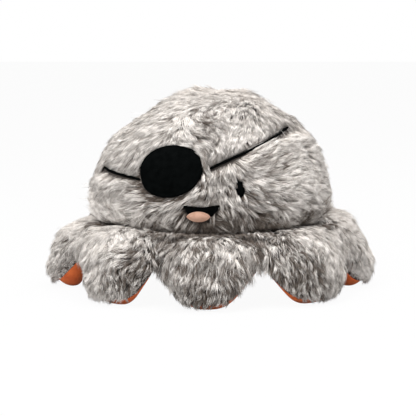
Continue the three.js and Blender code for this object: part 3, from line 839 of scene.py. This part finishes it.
def strand_faces():
    """Corners of one strand's faces, the share of the length at each, and the faces' sizes."""
    last_ring, tip = (RINGS - 1) * SIDES, RINGS * SIDES
    faces = [(0, 2, 1)]
    for ring in range(0, last_ring, SIDES):
        for here in range(SIDES):
            there = (here + 1) % SIDES
            faces.append((ring + here, ring + there, ring + SIDES + there, ring + SIDES + here))
    for here in range(SIDES):
        faces.append((last_ring + here, last_ring + (here + 1) % SIDES, tip))
    corner_of = np.array([corner for face in faces for corner in face])
    return corner_of, RING_AT[corner_of // SIDES], [len(face) for face in faces]


# Face outlines: how far a place lies outside a face piece, below 0 within it
def outside_oval(oval, points):
    across, up = from_middle(oval, points)
    turn = radians(oval.get("tilt", 0))
    x = across * cos(turn) + up * sin(turn)
    y = up * cos(turn) - across * sin(turn)
    radius = np.hypot(x / oval["half_width"], y / oval["half_height"])
    return (radius - 1) * min(oval["half_width"], oval["half_height"])


def outside_mouth(points):
    across, up = from_middle(MOUTH, points)
    share = np.clip(np.abs(across) / MOUTH["half_width"], 0, 1)
    top = MOUTH["depth"] / 2 - MOUTH["top_sag"] * np.cos(share * pi / 2)
    bottom = MOUTH["depth"] * (0.5 - (1 - share**2) ** MOUTH["fur_curve"])
    beside = np.abs(across) - MOUTH["half_width"]
    return np.maximum(np.maximum(up - top, bottom - up), beside)


def outside_face(points):
    """How far a place on the head lies outside the face pieces, whose edges the pile's fringe covers."""
    ovals = [outside_oval(oval, points) + oval["fringe"] for oval in (PATCH, EYE, TONGUE)]
    straps = [outside_strap(strap, points) + strap["fringe"] for strap in (STRAP_LEFT, STRAP_RIGHT)]
    return np.minimum.reduce([*ovals, outside_mouth(points) + MOUTH["fringe"], *straps])


def head_lay(places, normals):
    """The lay, lift, length and tone of the head's pile, from the nearest known places; the tone holds
    painted light and shade.
    """
    total = np.zeros((len(places), 6))
    weights = np.zeros((len(places), 1))
    for azimuth, rise, way, *looks in HEAD_LAY:
        middle = head_point(*np.radians((azimuth, rise)))
        weight = 1 / (np.sum((places - middle) ** 2, axis=-1, keepdims=True) + LAY_REACH**2) ** 2
        total += weight * np.array([*np.array(way) / np.linalg.norm(way), *looks])
        weights += weight
    lay = swirled(along_surface(total[:, :3], normals), normals, waved(HEAD_SWIRL, places, LAY_SEED))
    return lay, *(total[:, 3:] / weights).T


def parted(places):
    """How much darker the head's pile is at places, from its partings, partly as painted shade."""
    shade = np.zeros(len(places))
    for *middle, reach, depth in PARTINGS:
        shade += depth * nearness(places, head_point(*np.radians(middle)), reach)
    return shade


def head_fur(name, start, end, seed):
    """Pile on a head panel, clear of the face, and cropped and darkened along the patch's lower edge as
    painted shadow over its dark roots.
    """
    random = np.random.default_rng(seed)
    azimuths = (radians(start), radians(end))
    _, _, places, normals = scatter(head_skin, azimuths, (LOWEST_FUR, HEAD_CROWN), random)
    kept = outside_face(places) > ROOT_GAP
    places, normals = places[kept], normals[kept]
    lay, lift, length, pale = head_lay(places, normals)
    cropped = smooth(*CROP_BAND, outside_oval(PATCH, places))
    cropped *= smooth(0, CROP_BELOW, from_middle(PATCH, places)[1])
    length = length * (1 - CROP * cropped)
    # Painted shadow under the patch's edge
    pale = pale - CROP_SHADE * cropped
    lift = lift * (1 + waved(LIFT_WAVE, places, LIFT_SEED))
    paths, tone, kept = strand_paths(
        places, normals, lay, PILE_LENGTH * length, lift, HEAD_RADIUS, random, outside_face)
    tone += pale[kept] - parted(paths[:, 2])
    for fur in fur_pieces(f"head_fur_{name}", paths, normals[kept], tone, random):
        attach(fur, "body")


def above_floor(points):
    return points[..., 2] - FLOOR_GAP


def skirt_skin(azimuth, share):
    """The skirt's plush from the neck over its shoulder and down its wall."""
    inset = SKIRT_APOTHEM - SKIRT_SHOULDER
    shoulder = NECK_HEIGHT - SKIRT_SHOULDER
    radius = np.interp(share, SKIRT_STOPS, (NECK_RADIUS, inset, SKIRT_APOTHEM, SKIRT_APOTHEM))
    height = np.interp(share, SKIRT_STOPS, (NECK_HEIGHT, NECK_HEIGHT, shoulder, SKIRT_EDGE_HEIGHT))
    return polar(azimuth, ring_radius(azimuth, radius, "sides"), height)


def skirt_fur():
    """Pile where the skirt shows: on its corners and under the chin, darkened there partly as painted
    shade under the head.
    """
    random = np.random.default_rng(SKIRT_FUR_SEED)
    under_chin = SECTOR / 2 - CORNER_REACH
    spans = [(-under_chin, under_chin, SKIRT_STOPS[2])]
    for corner in range(ARM_COUNT):
        middle = (corner + 0.5) * SECTOR
        spans.append((middle - CORNER_REACH, middle + CORNER_REACH, SKIRT_STOPS[3]))
    found = [scatter(skirt_skin, (start, end), (0, lowest), random) for start, end, lowest in spans]
    azimuth, _, places, normals = (np.concatenate(parts) for parts in zip(*found))
    normals = np.where(np.sum(normals * places, axis=-1, keepdims=True) < 0, -normals, normals)
    outward = places * np.array([1, 1, 0]) / NECK_RADIUS
    lay = along_surface(outward + SKIRT_DOWN, normals)
    chin = smooth(SECTOR / 2, under_chin / 2, np.abs(azimuth))
    length = PILE_LENGTH * (SKIRT_LENGTH - CHIN_CROP * chin)
    lift = SKIRT_LIFT - CHIN_LIFT * chin
    paths, tone, kept = strand_paths(
        places, normals, lay, length, lift, CORNER_ROUND, random, above_floor)
    # Darker under the chin, partly painted shade
    tone += SKIRT_TONE - CHIN_SHADE * chin[kept]
    for fur in fur_pieces("skirt_fur", paths, normals[kept], tone, random):
        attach(fur, "body")


def arm_fur(arm, seed):
    """Pile on a tentacle's cover, combed out, aside and down, and standing up in its dark heart."""
    def skin(angle, share):
        return arm_skin(arm, angle, share)

    random = np.random.default_rng(seed)
    ends = ARM_ROLL[arm] + ARM_SEAM, ARM_ROLL[arm] + pi - ARM_SEAM
    angle, share, places, normals = scatter(skin, ends, ARM_FUR_SPAN, random)
    ahead = unit(skin(angle, np.minimum(share + ARM_AHEAD, 1)) - places)
    aside = np.cos(angle)[:, None] * ARM_ASIDE
    above_seam = smooth(*SEAM_BAND, np.minimum(angle - ends[0], ends[1] - angle))
    lay = along_surface(ahead + (aside + ARM_DOWN) * above_seam[:, None], normals)
    lay = swirled(lay, normals, waved(ARM_SWIRL, places, seed))
    low = smooth(*LOW_BAND, places[:, 2])
    near_root = smooth(*ROOT_BAND, share)
    heart = nearness(places[:, [0, 2]], ARM_HEART[arm] + np.array([ARM_LEAN[arm], 0]), HEART_REACH)
    depth = HEART_DEPTH[arm] * heart
    length = PILE_LENGTH * (SEAM_LENGTH + (1 - SEAM_LENGTH) * above_seam) * (1 - LOW_CROP * low)
    length = length * (1 - (ROOT_CROP + ROOT_SHADE[arm]) * near_root) * (1 - HEART_CROP * depth)
    lift = ARM_LIFT + LOW_LIFT * low + HEART_LIFT * heart + HEART_LIFT * depth
    lift = lift * (1 + waved(LIFT_WAVE, places, seed + 1))
    paths, tone, kept = strand_paths(
        places, normals, lay, length, lift, ARM_HALF_WIDTH, random, above_floor)
    tone *= ARM_CONTRAST + heart[kept]
    # Tone with painted light and shade: each tentacle's own, and darker at its root and lower part; its
    # heart is darker pile
    tone += (ARM_TONE[arm] - depth - LOW_SHADE * low - ROOT_SHADE[arm] * near_root)[kept]
    azimuth = arm * SECTOR
    paths, normals = turned(paths, azimuth), turned(normals[kept], azimuth)
    for fur in fur_pieces(f"tentacle_{arm + 1}_fur", paths, normals, tone, random):
        bend_with_arm(fur, arm)


# Bending and stuffing
def bend_with_arm(piece, arm):
    """Bakes a piece's placement into its mesh; the ends of the crease between the skirt and a tentacle
    are found but the piece is not bent across it.
    """
    azimuth = np.array(arm * SECTOR)
    ends = [polar(azimuth, SKIRT_APOTHEM + out, up) for out, up in (BEND_START, BEND_END)]
    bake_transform(piece)


def wadding(node, body, arm=None):
    """Loose fibre stuffing with a lumpy surface, leaning with its tentacle."""
    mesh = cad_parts[node].data.copy()
    shaped = bmesh.new()
    shaped.from_mesh(mesh)
    bmesh.ops.remove_doubles(shaped, verts=shaped.verts, dist=WELD)
    bmesh.ops.subdivide_edges(shaped, edges=shaped.edges, cuts=WADDING_CUTS, use_grid_fill=True)
    shaped.normal_update()
    places = np.array([vertex.co for vertex in shaped.verts])
    sink = WADDING_LUMP * (1 + soft_waves(places, WADDING_LUMP_WIDTH, WADDING_SEED))
    for vertex, depth in zip(shaped.verts, sink):
        vertex.co -= vertex.normal * max(depth, 0)
    if arm is not None:
        sideways = Vector((cos(arm * SECTOR), sin(arm * SECTOR), 0))
        lean = arm_lean(arm, arm_reach(turned(places, -arm * SECTOR)))
        for vertex, length in zip(shaped.verts, lean.tolist()):
            vertex.co += sideways * length
    shaped.to_mesh(mesh)
    shaped.free()
    piece = place_piece(node.replace("_fill", "_wadding"), mesh, "fibrefill")
    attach(piece, body)
    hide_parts(node)


# Head
def build_head():
    margin = CLEARANCE / 2 / HEAD_RADIUS
    rises = np.linspace(-pi / 2, HEAD_CROWN, HEAD_STEPS[1])
    for i, (name, start, end) in enumerate(HEAD_PANELS):
        across = np.linspace(radians(start) + margin, radians(end) - margin, HEAD_STEPS[0])
        skin = shell(f"head_skin_{name}", head_skin, across, rises, 0.0, -CLOTH, "grey_plush")
        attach(skin, "body")
        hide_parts(f"head_panel_{name}")
        head_fur(name, start, end, HEAD_FUR_SEED + i)
    wadding("head_fill", "body")


# Face pieces
def oval_outline(oval):
    """Points across and up round the patch, the eye or the tongue."""
    angle = around(oval["steps"])
    turn = radians(oval.get("tilt", 0))
    x = oval["half_width"] * np.cos(angle)
    y = oval["half_height"] * np.sin(angle) * np.abs(np.sin(angle)) ** (oval.get("point", 1) - 1)
    return x * cos(turn) - y * sin(turn), x * sin(turn) + y * cos(turn)


def mouth_outline():
    """Points across and up along the mouth's round lower edge and back along its sagging top."""
    share = np.linspace(0, 1, MOUTH["steps"] // 2, endpoint=False)
    angle = pi * (1 + share)
    round_edge = np.abs(np.sin(angle)) ** MOUTH["felt_curve"]
    lower = MOUTH["half_width"] * np.cos(angle), MOUTH["depth"] * (0.5 - round_edge)
    top = MOUTH["depth"] * 0.5 - MOUTH["top_sag"] * np.sin(pi * share)
    upper = MOUTH["half_width"] * (1 - 2 * share), top
    return np.concatenate([lower, upper], axis=1)


def sew_on(node, loops, slot):
    """A piece sewn on the head in place of a node."""
    piece = loft(f"sewn_{node}", loops, slot)
    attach(piece, "body")
    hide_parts(node)


def applique(node, middle, outline, lift, slot):
    """A sewn-on face piece: a domed pad inside an outline, with satin stitches over its edge."""
    x, y = outline
    ripple = 0.5 - 0.5 * np.cos(np.arange(len(x)) * 2 * pi * middle["stitches"] / len(x))
    loops = []
    for scale, height, rib in SEWN_SECTION:
        dome = middle["crown"] * (1 - scale**2) if height >= DOMED_FROM else 0.0
        level = lift + FELT * height + dome + STITCH_RELIEF * rib * ripple
        loops.append(head_skin(*face_place(middle, x * scale, y * scale), level))
    sew_on(node, np.array(loops), slot)


def strap_piece(node, strap):
    """A satin-stitched strap: threads side by side across a rounded cord."""
    round_steps, long_steps = STRAP_STEPS
    share = np.linspace(0, 1, long_steps)
    azimuth, rise = strap_line(strap, share)
    line = head_skin(azimuth, rise, CLEARANCE)
    ahead = unit(np.gradient(line, axis=0))
    normal = unit(head_skin(azimuth, rise, CLEARANCE + MM) - line)
    side = np.cross(normal, ahead)
    length = np.sum(np.linalg.norm(np.diff(line, axis=0), axis=-1))
    thread = 1 - THREAD_RELIEF + THREAD_RELIEF * np.abs(np.sin(share * length / THREAD_PITCH * pi))
    taper = np.sqrt(np.clip(np.minimum(share, 1 - share) / STRAP_TAPER, STRAP_TIP, 1))
    loops = []
    for angle in around(round_steps):
        out = side * (STRAP_WIDTH / 2 * cos(angle) * thread * taper)[:, None]
        raised = FELT * (0.5 + STRAP_CROWN * sin(angle)) * thread * taper
        loops.append(line + out + normal * raised[:, None])
    sew_on(node, np.stack(loops, axis=1), "black_felt")


def build_face():
    applique("eye_patch", PATCH, oval_outline(PATCH), CLEARANCE, "black_felt")
    applique("eye", EYE, oval_outline(EYE), CLEARANCE, "black_felt")
    applique("mouth", MOUTH, mouth_outline(), CLEARANCE, "black_felt")
    applique("tongue", TONGUE, oval_outline(TONGUE), FELT + 2 * CLEARANCE, "peach_felt")
    strap_piece("patch_strap_left", STRAP_LEFT)
    strap_piece("patch_strap_right", STRAP_RIGHT)


# Pocket and squeaker
def build_pocket():
    margin = CLEARANCE / 2 / POCKET_RADIUS
    rises = np.linspace(0, acos(CROWN_HOLE / POCKET_RADIUS), POCKET_STEPS[1])
    for rib in range(RIB_COUNT):
        start, end = (rib - 0.5) * SECTOR + margin, (rib + 0.5) * SECTOR - margin
        across = np.linspace(start, end, POCKET_STEPS[0])
        name = f"pumpkin_panel_{rib + 1}"
        panel = shell(f"{name}_velour", pocket_skin, across, rises, CLOTH, 0.0, "orange_velour")
        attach(panel, "body")
        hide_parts(name)
    for node, material in (
        ("squeaker_bulb", squeaker_vinyl),
        ("squeaker_whistle", whistle_plastic),
        ("squeaker_reed", whistle_plastic),
    ):
        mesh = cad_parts[node].data
        mesh.materials.clear()
        mesh.materials.append(material)


# Skirt
def ring_radius(azimuth, radius, outline):
    """The radius of a ring that is round, or follows the skirt's sides or the pocket's ribs."""
    if outline == "sides":
        return radius / np.cos(azimuth - np.round(azimuth / SECTOR) * SECTOR)
    if outline == "ribs":
        return radius - rib_swell(azimuth)
    return radius + 0 * azimuth


def skirt_ring(name, section, slot, node, gather):
    """A ring of cloth round the axis, from a section of radius, height and outline."""
    azimuth = around(SKIRT_STEPS)
    wave = gather * np.sin(azimuth * GATHER_COUNT) * np.sin(azimuth * GATHER_SWELLS + 1)
    loops = [
        polar(azimuth, ring_radius(azimuth, radius, outline), height + wave)
        for radius, height, outline in section
    ]
    piece = loft(name, np.stack(loops, axis=1), slot, runs_round=True)
    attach(piece, "body")
    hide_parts(node)


def build_skirt():
    top = NECK_HEIGHT - CLEARANCE
    wall = SKIRT_APOTHEM - CLEARANCE / 2
    inside = wall - CLOTH
    neck = NECK_RADIUS + CLEARANCE
    shoulder, hem = top - SKIRT_SHOULDER, SKIRT_SEAM_HEIGHT + CLEARANCE
    skirt_ring("skirt_plush", (
        (neck, top, "round"),
        (wall - SKIRT_SHOULDER, top, "sides"),
        (wall - SHOULDER_ROUND[0], shoulder + SHOULDER_ROUND[1], "sides"),
        (wall, shoulder, "sides"),
        (wall, hem, "sides"),
        (inside, hem, "sides"),
        (inside, shoulder - CLOTH, "sides"),
        (wall - SKIRT_SHOULDER - CLOTH, top - CLOTH, "sides"),
        (neck, top - CLOTH, "round"),
    ), "grey_plush", "skirt_cover", 0.0)
    rim = MOUTH_HEIGHT - CLEARANCE
    skirt_ring("skirt_velour", (
        (POCKET_RADIUS, rim - CLOTH, "ribs"),
        (POCKET_RADIUS + INNER_DIP[0], rim - CLOTH - INNER_DIP[1], "round"),
        (wall - OUTER_DIP[0], SKIRT_EDGE_HEIGHT - CLOTH - OUTER_DIP[1], "sides"),
        (wall, SKIRT_EDGE_HEIGHT - CLOTH, "sides"),
        (wall, SKIRT_SEAM_HEIGHT, "sides"),
        (inside, SKIRT_SEAM_HEIGHT, "sides"),
        (inside, SKIRT_EDGE_HEIGHT, "sides"),
        (POCKET_RADIUS, rim, "ribs"),
    ), "orange_velour", "skirt_lining", GATHER)
    skirt_fur()
    wadding("skirt_fill", "body")


# Tentacles
def build_arm(arm):
    def face(angle, share, offset=0.0):
        return turned(arm_skin(arm, angle, share, offset), arm * SECTOR)

    shares = np.linspace(0, 1, ARM_STEPS)
    plush = ARM_ROLL[arm] + np.linspace(ARM_SEAM, pi - ARM_SEAM, PLUSH_STEPS)
    velour = ARM_ROLL[arm] + np.linspace(pi - ARM_SEAM, 2 * pi + ARM_SEAM, VELOUR_STEPS)
    name = f"tentacle_{arm + 1}"
    for side, across, slot in (("cover", plush, "grey_plush"), ("lining", velour, "orange_velour")):
        skin = shell(f"{name}_{side}_skin", face, across, shares, ARM_SWELL, -CLOTH, slot)
        bend_with_arm(skin, arm)
        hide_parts(f"{name}_{side}")
    arm_fur(arm, ARM_FUR_SEED + arm)
    wadding(f"{name}_fill", name, arm)


# Stage, light and camera
def white_for_camera(tree, plain, whiteness):
    """Mixes a shader with plain white for the camera and for reflections."""
    path = add_node(tree, "ShaderNodeLightPath").outputs
    seen = add_node(tree, "ShaderNodeMath", path["Is Camera Ray"], path["Is Glossy Ray"])
    seen.operation = "MAXIMUM"
    share = add_node(tree, "ShaderNodeMath", seen.outputs["Value"], whiteness)
    share.operation = "MULTIPLY"
    white = add_node(tree, "ShaderNodeEmission").outputs["Emission"]
    mixed = add_node(tree, "ShaderNodeMixShader", share.outputs["Value"], plain, white)
    return mixed.outputs["Shader"]


def build_stage():
    half = FLOOR_HALF
    corners = [(-half, -half, 0), (half, -half, 0), (half, half, 0), (-half, half, 0)]
    floor_mesh = bpy.data.meshes.new("floor")
    floor_mesh.from_pydata(corners, [], [(0, 1, 2, 3)])
    floor = add_object("floor", floor_mesh)
    floor.location.z = -FLOOR_DROP
    material, tree, shader = new_material("pale_floor", roughness=0.9, Base_Color=FLOOR_GREY)
    shown = white_for_camera(tree, shader.outputs["BSDF"], FLOOR_WHITENESS)
    tree.links.new(shown, tree.nodes["Material Output"].inputs["Surface"])
    floor_mesh.materials.append(material)
    world = bpy.data.worlds.new("studio")
    bpy.context.scene.world = world
    world.use_nodes = True
    tree = world.node_tree
    ambient = tree.nodes["Background"]
    ambient.inputs["Color"].default_value = (1, 1, 1, 1)
    ambient.inputs["Strength"].default_value = AMBIENT
    shown = white_for_camera(tree, ambient.outputs["Background"], whiteness=1.0)
    tree.links.new(shown, tree.nodes["World Output"].inputs["Surface"])


def area_light(name, place, size, power):
    light = bpy.data.lights.new(name, "AREA")
    light.shape = "DISK"
    light.size = size
    light.energy = power
    lamp = add_object(name, light)
    lamp.location = place
    lamp.rotation_euler = (Vector(LIGHT_AIM) - Vector(place)).to_track_quat("-Z", "Y").to_euler()


def build_camera():
    away = Vector((0, -cos(VIEW_TILT), sin(VIEW_TILT)))
    lens = bpy.data.cameras.new("camera")
    lens.lens = LENS_LENGTH
    lens.sensor_width = SENSOR_WIDTH
    camera = add_object("camera", lens)
    camera.location = Vector(VIEW_AIM) + away * VIEW_DISTANCE
    camera.rotation_euler = (-away).to_track_quat("-Z", "Y").to_euler()
    bpy.context.scene.camera = camera


build_camera()
build_stage()
area_light("key", **KEY_LIGHT)
area_light("top", **TOP_LIGHT)
bpy.context.scene.view_settings.view_transform = "Standard"
build_head()
build_face()
build_pocket()
build_skirt()
for arm_number in range(ARM_COUNT):
    build_arm(arm_number)
